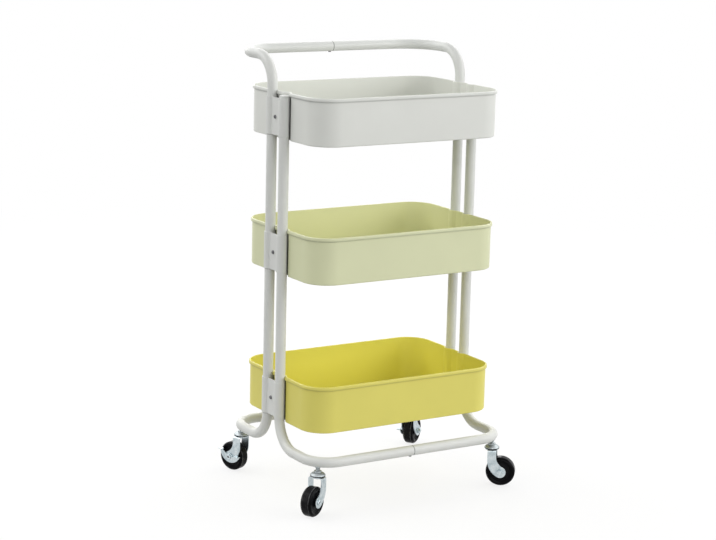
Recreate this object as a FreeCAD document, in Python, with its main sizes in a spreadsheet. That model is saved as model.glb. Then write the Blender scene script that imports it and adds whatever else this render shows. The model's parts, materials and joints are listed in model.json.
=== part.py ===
import FreeCAD, Part
import math
import os
import re

import Sketcher
from FreeCAD import Placement, Rotation, Vector

# Three-tier utility cart: +X along the long side, +Y to the back where the handle is, +Z up.
# The origin is on the floor, below the middle of the trays.

# Driving dimensions in millimetres, and angles in degrees where the name says so
DIMENSIONS = {
    "tray_length": 400,
    "tray_width": 275,
    "tray_height": 87,
    "tray_corner": 47,
    "sheet_gauge": 1,
    "floor_bend": 4.5,
    "rim_height": 6.5,
    "rim_out": 2.5,
    "rim_edge": 1.2,
    "rim_lap": 0.75,
    "groove_shoulder": 6,
    "groove_play": 0.1,
    "bottom_tray_z": 144.5,
    "middle_tray_z": 420,
    "top_tray_z": 670,
    "tube_diameter": 19,
    "tube_wall": 1,
    "upright_x": 205.7,
    "upright_y": 22.8,
    "handle_y": 160.5,
    "handle_z": 817.5,
    "handle_drop_bend": 51,
    "handle_plan_bend": 66.5,
    "base_y": 161.7,
    "base_z": 97.5,
    "base_drop_bend": 55,
    "base_plan_bend": 48,
    "front_top_z": 750,
    "seam_gap": 0.2,
    "sleeve_length": 80,
    "sleeve_wall": 1.5,
    "sleeve_play": 0.05,
    "joint_screw_x": -4.5,
    "joint_screw_diameter": 3.5,
    "joint_screw_head": 6,
    "joint_screw_head_height": 1.6,
    "joint_screw_length": 8,
    "pan_flat_share": 0.7,
    "pan_edge_share": 0.4,
    "cap_depth": 12,
    "cap_rise": 2,
    "cap_edge": 0.8,
    "cap_crown": 7,
    "clamp_gauge": 1.5,
    "clamp_height": 68.5,
    "clamp_rise": 7.5,
    "clamp_wall_gap": 4.2,
    "clamp_strip_out": 5.8,
    "clamp_bend": 2.5,
    "clamp_play": 0.05,
    "clamp_hole_play": 0.2,
    "clamp_screw_rise": 41,
    "clamp_screw_diameter": 4,
    "clamp_screw_head": 7,
    "clamp_screw_head_height": 2.4,
    "clamp_screw_tail": 11,
    "boss_width": 12,
    "boss_length": 9.6,
    "thread_play": 0.05,
    "caster_x": 193.4,
    "caster_y": 145.8,
    "weld_nut_width": 12,
    "weld_nut_rise": 4,
    "stem_diameter": 8,
    "stem_head": 13,
    "stem_head_height": 2.4,
    "stem_foot_play": 0.1,
    "cup_top_z": 81.5,
    "cup_diameter": 28.5,
    "cup_hat": 14,
    "cup_hat_z": 79,
    "cup_dome": 10,
    "cup_side": 2.4,
    "cup_skirt": 1.3,
    "cup_under_z": 74.5,
    "cup_skirt_z": 71.7,
    "race_inner": 13,
    "race_outer": 22,
    "race_play": 0.1,
    "crown_top_z": 71,
    "crown_diameter": 25,
    "fork_gauge": 1.8,
    "fork_gap": 25,
    "fork_front": 7,
    "fork_back": 9.8,
    "fork_bow_z": 51,
    "fork_neck_z": 58,
    "fork_eye": 11,
    "fork_shoulder": 4,
    "running_play": 0.06,
    "trail": 18,
    "wheel_diameter": 56,
    "tread_width": 9,
    "tyre_width": 22,
    "tyre_foot_width": 19,
    "tyre_shoulder": 5,
    "tyre_round": 8.5,
    "hub_diameter": 38,
    "hub_rim_width": 17,
    "hub_rim_wall": 2.5,
    "hub_web_width": 14,
    "hub_web_rise": 2,
    "hub_boss": 13,
    "hub_boss_width": 24.4,
    "axle_diameter": 6,
    "axle_head": 10,
    "axle_head_flat": 8,
    "axle_head_height": 2.2,
    "axle_tail": 5.5,
    "axle_nut_width": 10,
    "axle_nut_height": 4.5,
    "brake_gauge": 1.8,
    "brake_play": 0.3,
    "brake_reach": 25,
    "brake_tip_z": 5,
    "brake_waist_z": 3.5,
    "brake_boss": 8,
    "brake_sweep": 25.3,
    "brake_tab_length": 9,
    "brake_tab_out": 6.8,
    "brake_rest_degrees": -15,
}

# Where each caster points at rest: the way its wheel trails, in degrees from +X
CASTERS = {
    "front_left": (-1, -1, 209, False),
    "front_right": (1, -1, -40, False),
    "rear_left": (-1, 1, 112, True),
    "rear_right": (1, 1, 36, True),
}
TRAYS = ("bottom", "middle", "top")
SIDES = {"right": 0, "left": 180}
TOUCHING = 0.01

doc = FreeCAD.newDocument("utility_cart")
dims = doc.addObject("Spreadsheet::Sheet", "dims")
for row, (name, value) in enumerate(DIMENSIONS.items(), start=1):
    dims.set(f"A{row}", name)
    dims.set(f"B{row}", str(value))
    dims.setAlias(f"B{row}", name)
doc.recompute()

nodes = []


# Sizes and expressions


def full(expression):
    """Spells out a formula of dimension names for the document."""
    return re.sub(r"\b[a-z]+(?:_[a-z]+)+\b|\btrail\b", lambda word: "dims." + word.group(0), expression)


def size(expression):
    return float(dims.evalExpression(full(expression)))


def bind(item, prop, expression):
    item.setExpression(prop, full(expression))


def add_node(label, item):
    item.Label = label
    nodes.append(item)
    return item


# Sketches


def plane_sketch(body, role, offset=None):
    """Starts a sketch on one of the body's own planes, moved along its normal by offset."""
    sketch = body.newObject("Sketcher::SketchObject", body.Name + "_sketch")
    plane = next(item for item in body.Origin.OriginFeatures if item.Role == role)
    sketch.AttachmentSupport = [(plane, "")]
    sketch.MapMode = "FlatFace"
    if offset:
        bind(sketch, "AttachmentOffset.Base.z", offset)
    return sketch


def bind_constraint(sketch, constraint, expression):
    index = sketch.addConstraint(constraint)
    bind(sketch, f"Constraints[{index}]", expression)


def pin_point(sketch, edge, end, x, y):
    """Fixes a point of an edge at x and y, given as formulas."""
    for kind, axis, expression in (("DistanceX", -2, x), ("DistanceY", -1, y)):
        value = size(expression)
        if abs(value) < TOUCHING:
            sketch.addConstraint(Sketcher.Constraint("PointOnObject", edge, end, axis))
        else:
            bind_constraint(sketch, Sketcher.Constraint(kind, -1, 1, edge, end, value), expression)


def add_circle(sketch, x, y, radius):
    circle = Part.Circle(Vector(size(x), size(y), 0), Vector(0, 0, 1), size(radius))
    edge = sketch.addGeometry(circle, False)
    pin_point(sketch, edge, 3, x, y)
    bind_constraint(sketch, Sketcher.Constraint("Radius", edge, size(radius)), radius)


def add_arc(sketch, start, end, radius, side):
    """Adds an arc from start to end with its centre on the given side, and returns its two ends in order."""
    reach = size(radius)
    chord = end - start
    rise = math.sqrt(reach**2 - (chord.Length / 2) ** 2)
    across = Vector(-chord.y, chord.x, 0).normalize()
    centre = (start + end) * 0.5 + across * (rise if side == "left" else -rise)
    first, last = (start, end) if side == "left" else (end, start)
    first_angle = math.atan2(first.y - centre.y, first.x - centre.x)
    last_angle = math.atan2(last.y - centre.y, last.x - centre.x)
    if last_angle < first_angle:
        last_angle += 2 * math.pi
    circle = Part.Circle(centre, Vector(0, 0, 1), reach)
    edge = sketch.addGeometry(Part.ArcOfCircle(circle, first_angle, last_angle), False)
    bind_constraint(sketch, Sketcher.Constraint("Radius", edge, reach), radius)
    return (edge, 1, 2) if side == "left" else (edge, 2, 1)


def draw_outline(sketch, corners):
    """Draws a closed outline. A corner is (x, y), or (x, y, radius, side) where an arc leads to the next."""
    points = [Vector(size(corner[0]), size(corner[1]), 0) for corner in corners]
    edges = []
    for index, corner in enumerate(corners):
        start = points[index]
        end = points[(index + 1) % len(points)]
        if len(corner) == 2:
            line = sketch.addGeometry(Part.LineSegment(start, end), False)
            edges.append((line, 1, 2))
        else:
            edges.append(add_arc(sketch, start, end, corner[2], corner[3]))
    for index, corner in enumerate(corners):
        edge, first, _ = edges[index]
        before, _, last = edges[index - 1]
        sketch.addConstraint(Sketcher.Constraint("Coincident", before, last, edge, first))
        pin_point(sketch, edge, first, corner[0], corner[1])


def rectangle(low_x, low_y, high_x, high_y):
    return [(low_x, low_y), (high_x, low_y), (high_x, high_y), (low_x, high_y)]


def hexagon(width):
    """The corners of a hexagon of the given width across its flats."""
    half = f"({width})/2"
    corner = f"({width})/sqrt(3)"
    return [
        (corner, "0"),
        (f"{corner}/2", half),
        (f"-{corner}/2", half),
        (f"-{corner}", "0"),
        (f"-{corner}/2", f"-{half}"),
        (f"{corner}/2", f"-{half}"),
    ]


# Features of a body


def new_body(name):
    return doc.addObject("PartDesign::Body", name)


def pad(body, sketch, length, symmetric=False, reverse=False):
    feature = body.newObject("PartDesign::Pad", body.Name + "_pad")
    feature.Profile = sketch
    feature.SideType = "Symmetric" if symmetric else "One side"
    feature.Reversed = reverse
    bind(feature, "Length", length)
    return feature


def pocket_through(body, sketch, symmetric=True, reverse=False):
    feature = body.newObject("PartDesign::Pocket", body.Name + "_pocket")
    feature.Profile = sketch
    feature.Type = "ThroughAll"
    feature.SideType = "Symmetric" if symmetric else "One side"
    feature.Reversed = reverse
    return feature


def revolve(body, sketch):
    feature = body.newObject("PartDesign::Revolution", body.Name + "_revolution")
    feature.Profile = sketch
    feature.ReferenceAxis = (sketch, ["V_Axis"])
    feature.Angle = 360
    return feature


def edge_names(shape, wanted):
    return [f"Edge{index}" for index, edge in enumerate(shape.Edges, start=1) if wanted(edge)]


def round_edges(body, radius, wanted):
    """Rounds the edges of the body so far that wanted() picks."""
    doc.recompute()
    base = body.Tip
    feature = body.newObject("PartDesign::Fillet", body.Name + "_fillet")
    feature.Base = (base, edge_names(base.Shape, wanted))
    bind(feature, "Radius", radius)
    return feature


def is_upright(edge):
    box = edge.BoundBox
    return box.XLength < TOUCHING and box.YLength < TOUCHING and box.ZLength > TOUCHING


# Trays: pressed sheet boxes with a rolled rim, grooved at both ends for the uprights


def make_tray(tier):
    body = new_body(tier + "_tray")
    outline = plane_sketch(body, "XY_Plane")
    half_length = "tray_length/2"
    half_width = "tray_width/2"
    draw_outline(outline, rectangle("-" + half_length, "-" + half_width, half_length, half_width))
    pad(body, outline, "tray_height - rim_edge")
    round_edges(body, "tray_corner", is_upright)

    grooves = plane_sketch(body, "XY_Plane")
    groove = "tube_diameter/2 + rim_out + groove_play"
    for x in ("upright_x", "-upright_x"):
        for y in ("upright_y", "-upright_y"):
            add_circle(grooves, x, y, groove)
    pocket_through(body, grooves)
    end_x = size(half_length)
    mouth_y = size("upright_y + " + groove)
    round_edges(
        body,
        "groove_shoulder",
        lambda edge: is_upright(edge)
        and abs(abs(edge.CenterOfMass.x) - end_x) < TOUCHING
        and abs(edge.CenterOfMass.y) < mouth_y,
    )
    round_edges(body, "floor_bend", lambda edge: edge.BoundBox.ZMax < TOUCHING)

    doc.recompute()
    solid = body.Tip
    wall_top = size("tray_height - rim_edge")
    faces = enumerate(solid.Shape.Faces, start=1)
    mouth = next(f"Face{index}" for index, face in faces if face.BoundBox.ZMin > wall_top - TOUCHING)
    shell = body.newObject("PartDesign::Thickness", body.Name + "_shell")
    shell.Base = (solid, [mouth])
    shell.Reversed = True
    bind(shell, "Value", "sheet_gauge")

    doc.recompute()
    top = next(face for face in shell.Shape.Faces if face.BoundBox.ZMin > wall_top - TOUCHING)
    rim_line = top.OuterWire.Edges
    profile = plane_sketch(body, "YZ_Plane", "tray_length/2 - tray_corner")
    inside = "-tray_width/2 + rim_lap"
    outside = "-tray_width/2 - rim_out"
    draw_outline(
        profile,
        [
            (inside, "tray_height - rim_height"),
            (outside + " + rim_edge", "tray_height - rim_height", "rim_edge", "right"),
            (outside, "tray_height - rim_height + rim_edge"),
            (outside, "tray_height - rim_edge", "rim_edge", "right"),
            (outside + " + rim_edge", "tray_height"),
            (inside, "tray_height"),
        ],
    )
    rim = body.newObject("PartDesign::AdditivePipe", body.Name + "_rim")
    rim.Profile = profile
    rim.Spine = (shell, edge_names(shell.Shape, lambda edge: any(edge.isSame(item) for item in rim_line)))
    bind(body, "Placement.Base.z", tier + "_tray_z")
    add_node(tier + "_tray", body)


# Tube frame: two bent tubes a side, joined to the other side's at three seams

ALONG_X = Rotation(Vector(0, 1, 0), 90)
TUBE_BORE = "tube_diameter/2 - tube_wall"


def bent_path(corners):
    """A wire through the corner points, each given with the radius of its bend (0 at the ends)."""
    edges = []
    last = corners[0][0]
    for (before, _), (corner, radius), (after, _) in zip(corners, corners[1:], corners[2:]):
        inward = (before - corner).normalize()
        onward = (after - corner).normalize()
        start = corner + inward * radius
        end = corner + onward * radius
        centre = corner + inward * radius + onward * radius
        middle = centre + (corner - centre).normalize() * radius
        edges.append(Part.LineSegment(last, start).toShape())
        edges.append(Part.Arc(start, middle, end).toShape())
        last = end
    edges.append(Part.LineSegment(last, corners[-1][0]).toShape())
    return Part.Wire(edges)


def sweep_round(name, spine, radius, start):
    """Sweeps a disc of the given radius along a path that begins at start."""
    section = doc.addObject("Part::Circle", name + "_section")
    bind(section, "Radius", radius)
    section.Placement = start
    sweep = doc.addObject("Part::Sweep", name)
    sweep.Sections = [section]
    sweep.Spine = (spine, [f"Edge{index}" for index in range(1, len(spine.Shape.Edges) + 1)])
    sweep.Solid = True
    return sweep


def bend_tube(name, corners, start_turn):
    """A hollow tube along a bent path."""
    spine = doc.addObject("Part::Feature", name + "_path")
    spine.Shape = bent_path(corners)
    start = Placement(corners[0][0], start_turn)
    tube = doc.addObject("Part::Cut", name + "_tube")
    tube.Base = sweep_round(name + "_outside", spine, "tube_diameter/2", start)
    tube.Tool = sweep_round(name + "_inside", spine, TUBE_BORE, start)
    return tube


def bore(name, base, radius, length, placement):
    """Drills a round hole into base along its placement's z axis."""
    drill = doc.addObject("Part::Cylinder", name + "_drill")
    bind(drill, "Radius", radius)
    bind(drill, "Height", length)
    drill.Placement = placement
    cut = doc.addObject("Part::Cut", name)
    cut.Base = base
    cut.Tool = drill
    return cut


def mirror_left(name, source):
    mirrored = doc.addObject("Part::Mirroring", name)
    mirrored.Source = source
    mirrored.Normal = Vector(1, 0, 0)
    return mirrored


def seam_points():
    """Where the two halves of the handle and of the base bars meet, and the name of each seam."""
    return {
        "handle": Vector(0, size("handle_y"), size("handle_z")),
        "front_base": Vector(0, -size("base_y"), size("base_z")),
        "rear_base": Vector(0, size("base_y"), size("base_z")),
    }


def bore_for_caster(name, base, front):
    spot = Vector(size("caster_x"), size("caster_y") * front, size("base_z - tube_diameter"))
    hole = "weld_nut_width/2 + thread_play"
    return bore(name, base, hole, "tube_diameter", Placement(spot, Rotation()))


def bore_for_screw(name, base, seam):
    spot = seam_points()[seam] + Vector(size("joint_screw_x"), 0, -size("tube_diameter"))
    hole = "joint_screw_diameter/2 + thread_play"
    return bore(name, base, hole, "tube_diameter", Placement(spot, Rotation()))


def make_rear_tubes():
    x = size("upright_x")
    start_x = size("seam_gap")
    handle_y = size("handle_y")
    handle_z = size("handle_z")
    base_y = size("base_y")
    base_z = size("base_z")
    corners = [
        (Vector(start_x, handle_y, handle_z), 0),
        (Vector(x, handle_y, handle_z), size("handle_plan_bend")),
        (Vector(x, size("upright_y"), handle_z), size("handle_drop_bend")),
        (Vector(x, size("upright_y"), base_z), size("base_drop_bend")),
        (Vector(x, base_y, base_z), size("base_plan_bend")),
        (Vector(start_x, base_y, base_z), 0),
    ]
    tube = bend_tube("rear", corners, ALONG_X)
    right = bore_for_caster("right_rear_tube", tube, 1)
    left = mirror_left("rear_mirror", right)
    left = bore_for_screw("rear_handle_screw_hole", left, "handle")
    left = bore_for_screw("left_rear_tube", left, "rear_base")
    add_node("right_rear_tube", right)
    add_node("left_rear_tube", left)


def make_front_tubes():
    x = size("upright_x")
    base_y = -size("base_y")
    base_z = size("base_z")
    top = Vector(x, -size("upright_y"), size("front_top_z"))
    corners = [
        (top, 0),
        (Vector(x, top.y, base_z), size("base_drop_bend")),
        (Vector(x, base_y, base_z), size("base_plan_bend")),
        (Vector(size("seam_gap"), base_y, base_z), 0),
    ]
    tube = bend_tube("front", corners, Rotation())
    right = bore_for_caster("right_front_tube", tube, -1)
    left = mirror_left("front_mirror", right)
    left = bore_for_screw("left_front_tube", left, "front_base")
    add_node("right_front_tube", right)
    add_node("left_front_tube", left)


def make_sleeve(seam, place):
    """The short inner tube that joins the two halves at a seam, with its screw hole below."""
    body = new_body(seam + "_sleeve")
    ring = plane_sketch(body, "YZ_Plane")
    outer = TUBE_BORE + " - sleeve_play"
    add_circle(ring, "0", "0", outer)
    add_circle(ring, "0", "0", outer + " - sleeve_wall")
    pad(body, ring, "sleeve_length", symmetric=True)
    hole = plane_sketch(body, "XY_Plane")
    add_circle(hole, "joint_screw_x", "0", "joint_screw_diameter/2 + thread_play")
    pocket_through(body, hole, symmetric=False)
    body.Placement = Placement(place, Rotation())
    add_node(seam + "_sleeve", body)


def make_screw(name, shank, length, head, head_height):
    """A pan head screw that points up +Z, with the seat of its head at the origin."""
    body = new_body(name)
    section = plane_sketch(body, "XZ_Plane")
    draw_outline(
        section,
        [
            ("0", f"-({head_height})"),
            (f"({head})/2*pan_flat_share", f"-({head_height})"),
            (f"({head})/2", f"-({head_height})*pan_edge_share"),
            (f"({head})/2", "0"),
            (f"({shank})/2", "0"),
            (f"({shank})/2", length),
            ("0", length),
        ],
    )
    revolve(body, section)
    return body


def group(label, bodies):
    """Several like pieces kept in one node as separate solids."""
    compound = doc.addObject("Part::Compound", label)
    compound.Links = bodies
    add_node(label, compound)


def make_joint_screws():
    screws = []
    for seam, place in seam_points().items():
        screw = make_screw(
            seam + "_screw",
            "joint_screw_diameter",
            "joint_screw_length",
            "joint_screw_head",
            "joint_screw_head_height",
        )
        seat = Vector(size("joint_screw_x"), 0, -size("tube_diameter/2 + thread_play"))
        screw.Placement = Placement(place + seat, Rotation())
        screws.append(screw)
    group("joint_screws", screws)


def make_tube_cap(side, turn):
    """The plastic plug with a domed top that closes a front upright."""
    body = new_body(side + "_tube_cap")
    section = plane_sketch(body, "XZ_Plane")
    plug = TUBE_BORE + " - sleeve_play"
    draw_outline(
        section,
        [
            ("0", "-cap_depth"),
            (plug, "-cap_depth"),
            (plug, "0"),
            ("tube_diameter/2", "0"),
            ("tube_diameter/2", "cap_edge"),
            ("cap_crown", "cap_rise"),
            ("0", "cap_rise"),
        ],
    )
    revolve(body, section)
    along = Rotation(Vector(0, 0, 1), turn).multVec(Vector(size("upright_x"), 0, 0))
    body.Placement = Placement(along + Vector(0, -size("upright_y"), size("front_top_z")), Rotation())
    add_node(side + "_tube_cap", body)


# Clamp plates: a formed sheet at each end of each tray that holds both uprights to it


def make_clamp(label, side, tier):
    body = new_body(label)
    outline = plane_sketch(body, "XY_Plane")
    inner = "(tube_diameter/2 + clamp_play)"
    outer = "(tube_diameter/2 + clamp_play + clamp_gauge)"
    lip_x = "tray_length/2 + clamp_wall_gap"
    strip_x = "upright_x + clamp_strip_out"
    back_x = "upright_x + clamp_strip_out - clamp_gauge"
    strip_y = f"(upright_y - sqrt({outer}^2 - clamp_strip_out^2))"
    back_y = f"(upright_y - sqrt({inner}^2 - (clamp_strip_out - clamp_gauge)^2))"
    draw_outline(
        outline,
        [
            (lip_x, f"upright_y + {inner}"),
            ("upright_x", f"upright_y + {inner}", inner, "right"),
            (back_x, back_y),
            (back_x, "-" + back_y, inner, "right"),
            ("upright_x", f"-(upright_y + {inner})"),
            (lip_x, f"-(upright_y + {inner})"),
            (lip_x, f"-(upright_y + {outer})"),
            ("upright_x", f"-(upright_y + {outer})", outer, "left"),
            (strip_x, "-" + strip_y),
            (strip_x, strip_y, outer, "left"),
            ("upright_x", f"upright_y + {outer}"),
            (lip_x, f"upright_y + {outer}"),
        ],
    )
    pad(body, outline, "clamp_height")
    fold_x = size(strip_x)
    round_edges(
        body,
        "clamp_bend",
        lambda edge: is_upright(edge) and abs(edge.CenterOfMass.x - fold_x) < TOUCHING,
    )
    hole = plane_sketch(body, "YZ_Plane")
    add_circle(hole, "0", "clamp_screw_rise - clamp_rise", "clamp_screw_diameter/2 + clamp_hole_play")
    pocket_through(body, hole)
    turn = Rotation(Vector(0, 0, 1), SIDES[side])
    body.Placement = Placement(Vector(0, 0, size(f"{tier}_tray_z + clamp_rise")), turn)
    add_node(label, body)


def make_boss(name):
    """A threaded hexagon spacer on the tray's end wall, along +X from the wall."""
    body = new_body(name)
    section = plane_sketch(body, "YZ_Plane")
    draw_outline(section, hexagon("boss_width"))
    add_circle(section, "0", "0", "clamp_screw_diameter/2 + thread_play")
    pad(body, section, "boss_length")
    return body


def make_clamp_fasteners():
    screws = []
    bosses = []
    for tier in TRAYS:
        for side, degrees in SIDES.items():
            turn = Rotation(Vector(0, 0, 1), degrees)
            rise = Vector(0, 0, size(f"{tier}_tray_z + clamp_screw_rise"))
            boss = make_boss(f"{tier}_{side}_boss")
            boss.Placement = Placement(turn.multVec(Vector(size("tray_length/2"), 0, 0)) + rise, turn)
            bosses.append(boss)
            screw = make_screw(
                f"{tier}_{side}_clamp_screw",
                "clamp_screw_diameter",
                "clamp_screw_tail",
                "clamp_screw_head",
                "clamp_screw_head_height",
            )
            seat = turn.multVec(Vector(size("upright_x + clamp_strip_out"), 0, 0)) + rise
            screw.Placement = Placement(seat, turn.multiply(Rotation(Vector(0, 1, 0), -90)))
            screws.append(screw)
    group("clamp_screws", screws)
    group("clamp_bosses", bosses)


# Casters: in each one's own frame the swivel axis is Z and the wheel trails along +X

FORK_OUTER = "(fork_gap/2 + fork_gauge)"
CROWN_UNDER = "(crown_top_z - fork_gauge)"


def make_stem(label):
    body = new_body(label)
    section = plane_sketch(body, "XZ_Plane")
    seat = CROWN_UNDER + " - stem_foot_play"
    draw_outline(
        section,
        [
            ("0", seat + " - stem_head_height"),
            ("stem_head/2", seat + " - stem_head_height"),
            ("stem_head/2", seat),
            ("stem_diameter/2", seat),
            ("stem_diameter/2", "base_z + weld_nut_rise"),
            ("0", "base_z + weld_nut_rise"),
        ],
    )
    revolve(body, section)
    return body


def make_cup(label):
    """The pressed cup over the swivel bearing, fixed on the stem."""
    body = new_body(label)
    section = plane_sketch(body, "XZ_Plane")
    draw_outline(
        section,
        [
            ("stem_diameter/2", "cup_under_z"),
            ("cup_diameter/2 - cup_skirt", "cup_under_z"),
            ("cup_diameter/2 - cup_skirt", "cup_skirt_z"),
            ("cup_diameter/2", "cup_skirt_z"),
            ("cup_diameter/2", "cup_skirt_z + cup_side", "cup_dome", "left"),
            ("cup_hat/2", "cup_hat_z"),
            ("cup_hat/2", "cup_top_z"),
            ("stem_diameter/2", "cup_top_z"),
        ],
    )
    revolve(body, section)
    return body


def make_race(label):
    """The bearing ring that the fork's crown turns on."""
    body = new_body(label)
    section = plane_sketch(body, "XY_Plane", "crown_top_z")
    add_circle(section, "0", "0", "race_outer/2")
    add_circle(section, "0", "0", "race_inner/2")
    pad(body, section, "cup_under_z - race_play - crown_top_z")
    return body


def make_fork(label):
    """A pressed fork: round crown, two bowed legs that run smoothly into round eyes for the axle."""
    body = new_body(label)
    side = plane_sketch(body, "XZ_Plane")
    axle_z = "wheel_diameter/2"
    # The bow is an arc down the front edge that ends tangent to the eye, and the neck one down the back
    bow_rise = f"(fork_bow_z - {axle_z})"
    bow_run = "(trail + fork_front)"
    bow = f"(({bow_run}^2 + {bow_rise}^2 - fork_eye^2)/(2*({bow_run} - fork_eye)))"
    bow_share = f"fork_eye/({bow} - fork_eye)"
    neck_rise = f"(fork_neck_z - {axle_z})"
    neck_run = "(trail - fork_back)"
    neck = f"(({neck_run}^2 + {neck_rise}^2 - fork_eye^2)/(2*({neck_run} + fork_eye)))"
    neck_share = f"fork_eye/({neck} + fork_eye)"
    draw_outline(
        side,
        [
            ("-fork_front", "crown_top_z"),
            ("-fork_front", "fork_bow_z", bow, "left"),
            (
                f"trail + ({bow_run} - {bow})*{bow_share}",
                f"{axle_z} - {bow_rise}*{bow_share}",
                "fork_eye",
                "left",
            ),
            ("trail + fork_eye", axle_z, "fork_eye", "left"),
            (
                f"trail + ({neck} - {neck_run})*{neck_share}",
                f"{axle_z} + {neck_rise}*{neck_share}",
                neck,
                "right",
            ),
            ("fork_back", "fork_neck_z"),
            ("fork_back", "crown_top_z"),
        ],
    )
    pad(body, side, f"2*{FORK_OUTER}", symmetric=True)
    crown = plane_sketch(body, "XY_Plane", CROWN_UNDER)
    add_circle(crown, "0", "0", "crown_diameter/2")
    pad(body, crown, "fork_gauge")
    channel = plane_sketch(body, "YZ_Plane")
    draw_outline(channel, rectangle("-fork_gap/2", "-fork_gap", "fork_gap/2", CROWN_UNDER))
    pocket_through(body, channel)
    top_z = size("crown_top_z")
    outer_y = size(FORK_OUTER)
    round_edges(
        body,
        "fork_shoulder",
        lambda edge: abs(edge.BoundBox.ZMin - top_z) < TOUCHING
        and abs(abs(edge.CenterOfMass.y) - outer_y) < TOUCHING
        and edge.BoundBox.YLength < TOUCHING,
    )
    stem_hole = plane_sketch(body, "XY_Plane")
    add_circle(stem_hole, "0", "0", "stem_diameter/2 + running_play")
    pocket_through(body, stem_hole)
    axle_hole = plane_sketch(body, "XZ_Plane")
    add_circle(axle_hole, "trail", axle_z, "axle_diameter/2 + thread_play")
    pocket_through(body, axle_hole)
    return body


def make_axle(label, stack):
    """The axle rivet along Y about its own origin, with its head beyond +stack."""
    body = new_body(label)
    section = plane_sketch(body, "XY_Plane")
    draw_outline(
        section,
        [
            ("0", f"-({FORK_OUTER} + axle_tail)"),
            ("axle_diameter/2", f"-({FORK_OUTER} + axle_tail)"),
            ("axle_diameter/2", stack),
            ("axle_head/2", stack),
            ("axle_head_flat/2", f"{stack} + axle_head_height"),
            ("0", f"{stack} + axle_head_height"),
        ],
    )
    revolve(body, section)
    return body


def make_nut(label):
    body = new_body(label)
    section = plane_sketch(body, "XZ_Plane", f"{FORK_OUTER} + thread_play")
    draw_outline(section, hexagon("axle_nut_width"))
    add_circle(section, "0", "0", "axle_diameter/2 + thread_play")
    pad(body, section, "axle_nut_height")
    return body


def make_hub(label):
    """A moulded wheel centre: a long boss on the axle, a dished web and a rim under the tyre."""
    body = new_body(label)
    section = plane_sketch(body, "XY_Plane")
    bore_radius = "axle_diameter/2 + running_play"
    rim_inside = "hub_diameter/2 - hub_rim_wall"
    draw_outline(
        section,
        [
            (bore_radius, "-hub_boss_width/2"),
            ("hub_boss/2", "-hub_boss_width/2"),
            ("hub_boss/2", "-hub_web_width/2 - hub_web_rise"),
            (rim_inside, "-hub_web_width/2"),
            (rim_inside, "-hub_rim_width/2"),
            ("hub_diameter/2", "-hub_rim_width/2"),
            ("hub_diameter/2", "hub_rim_width/2"),
            (rim_inside, "hub_rim_width/2"),
            (rim_inside, "hub_web_width/2"),
            ("hub_boss/2", "hub_web_width/2 + hub_web_rise"),
            ("hub_boss/2", "hub_boss_width/2"),
            (bore_radius, "hub_boss_width/2"),
        ],
    )
    revolve(body, section)
    return body


def make_tyre(label):
    """A rubber band with a flat tread and round shoulders."""
    body = new_body(label)
    section = plane_sketch(body, "XY_Plane")
    shoulder = "wheel_diameter/2 - tyre_shoulder"
    draw_outline(
        section,
        [
            ("hub_diameter/2", "-tyre_foot_width/2"),
            (shoulder, "-tyre_width/2", "tyre_round", "left"),
            ("wheel_diameter/2", "-tread_width/2"),
            ("wheel_diameter/2", "tread_width/2", "tyre_round", "left"),
            (shoulder, "tyre_width/2"),
            ("hub_diameter/2", "tyre_foot_width/2"),
        ],
    )
    revolve(body, section)
    return body


def make_brake(label):
    """The brake's rocking pedal on the axle: a crescent plate with a foot tab turned out at each tip."""
    body = new_body(label)
    inside = f"-({FORK_OUTER} + brake_play)"
    plate = plane_sketch(body, "XZ_Plane", inside)
    boss_half = "sqrt(brake_boss^2 - brake_waist_z^2)"
    draw_outline(
        plate,
        [
            ("-brake_reach", "brake_tip_z", "brake_sweep", "left"),
            ("brake_reach", "brake_tip_z"),
            (boss_half, "brake_waist_z", "brake_boss", "left"),
            ("-" + boss_half, "brake_waist_z"),
        ],
    )
    add_circle(plate, "0", "0", "axle_diameter/2 + running_play")
    pad(body, plate, "brake_gauge", reverse=True)
    tabs = plane_sketch(body, "XZ_Plane", inside)
    for low, high in (
        ("-brake_reach", "-brake_reach + brake_tab_length"),
        ("brake_reach - brake_tab_length", "brake_reach"),
    ):
        draw_outline(tabs, rectangle(low, "brake_tip_z - brake_gauge", high, "brake_tip_z"))
    pad(body, tabs, "brake_gauge + brake_tab_out", reverse=True)
    return body


def make_caster(corner, across, along, degrees, braked):
    spot = Vector(size("caster_x") * across, size("caster_y") * along, 0)
    swivel = Placement(spot, Rotation(Vector(0, 0, 1), degrees))
    axle_spot = Placement(Vector(size("trail"), 0, size("wheel_diameter/2")), Rotation())
    stack = f"({FORK_OUTER} + thread_play)"
    if braked:
        stack = f"({FORK_OUTER} + brake_play*2 + brake_gauge)"
    at_swivel = {
        "stem": make_stem(corner + "_stem"),
        "cup": make_cup(corner + "_cup"),
        "swivel_race": make_race(corner + "_swivel_race"),
        "fork": make_fork(corner + "_fork"),
    }
    at_axle = {
        "axle": make_axle(corner + "_axle", stack),
        "axle_nut": make_nut(corner + "_axle_nut"),
        "hub": make_hub(corner + "_hub"),
        "tyre": make_tyre(corner + "_tyre"),
    }
    for kind, body in at_swivel.items():
        body.Placement = swivel
        add_node(f"{corner}_{kind}", body)
    for kind, body in at_axle.items():
        body.Placement = swivel.multiply(axle_spot)
        add_node(f"{corner}_{kind}", body)
    if braked:
        brake = make_brake(corner + "_brake_pedal")
        tilt = Placement(Vector(), Rotation(Vector(0, 1, 0), size("brake_rest_degrees")))
        brake.Placement = swivel.multiply(axle_spot).multiply(tilt)
        add_node(corner + "_brake_pedal", brake)


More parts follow.
